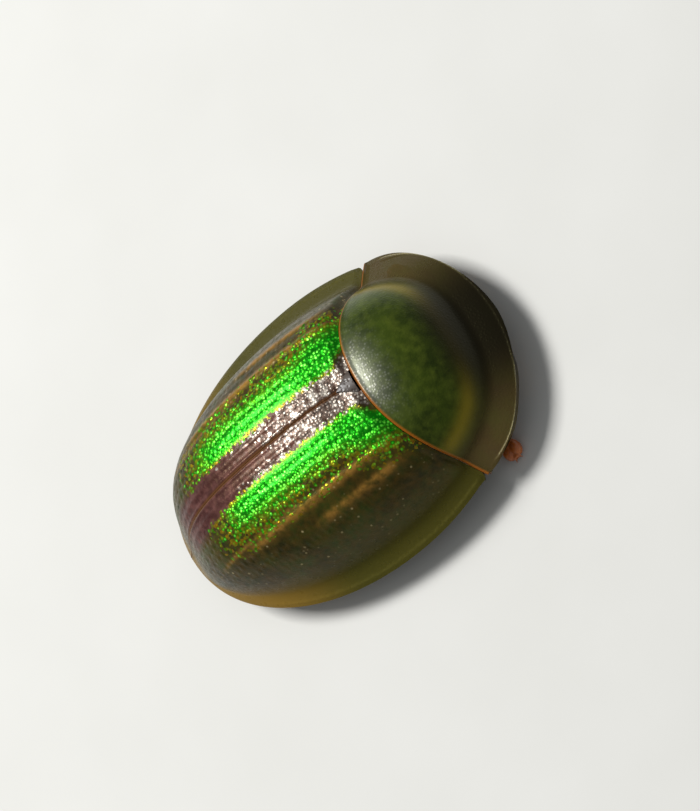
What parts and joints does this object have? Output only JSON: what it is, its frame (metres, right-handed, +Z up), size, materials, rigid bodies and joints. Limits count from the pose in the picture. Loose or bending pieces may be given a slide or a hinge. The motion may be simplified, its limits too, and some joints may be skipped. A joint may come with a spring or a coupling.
{
  "type": "tortoise beetle",
  "caption": "Still life-size tortoise beetle with domed wing cases, a wide shield over the head and flat margins, standing on tucked legs.",
  "frame": {"origin": "middle of the footprint at floor level", "axes": "+Z up, head towards -Y, the beetle's left side at +X"},
  "size_m": [0.0042, 0.0058, 0.0019],
  "materials": {
    "elytra": "glossy olive cuticle with metallic green stripes",
    "pronotum": "glossy olive cuticle, clear at the margin",
    "scutellum": "glossy dark cuticle",
    "underside": "black-brown punctured cuticle",
    "abdomen": "dark brown cuticle with a paler edge",
    "head": "black cuticle",
    "eyes": "faceted black",
    "mouthparts": "brown cuticle",
    "antennae": "yellow cuticle, darker at the tip",
    "legs": "reddish-yellow cuticle"
  },
  "bodies": {
    "root": {"pronotum": "pronotum", "scutellum": "scutellum", "elytron_left": "elytra", "elytron_right": "elytra", "prothorax": "underside", "thorax": "underside", "abdomen": "abdomen", "head": "head", "eye_left": "eyes", "eye_right": "eyes", "mouthparts": "mouthparts", "antenna_left": "antennae", "antenna_right": "antennae", "femur_fore_left": "legs", "femur_fore_right": "legs", "femur_mid_left": "legs", "femur_mid_right": "legs", "femur_hind_left": "legs", "femur_hind_right": "legs", "tibia_fore_left": "legs", "tibia_fore_right": "legs", "tibia_mid_left": "legs", "tibia_mid_right": "legs", "tibia_hind_left": "legs", "tibia_hind_right": "legs", "tarsus_fore_left": "legs", "tarsus_fore_right": "legs", "tarsus_mid_left": "legs", "tarsus_mid_right": "legs", "tarsus_hind_left": "legs", "tarsus_hind_right": "legs"}
  },
  "joints": []
}
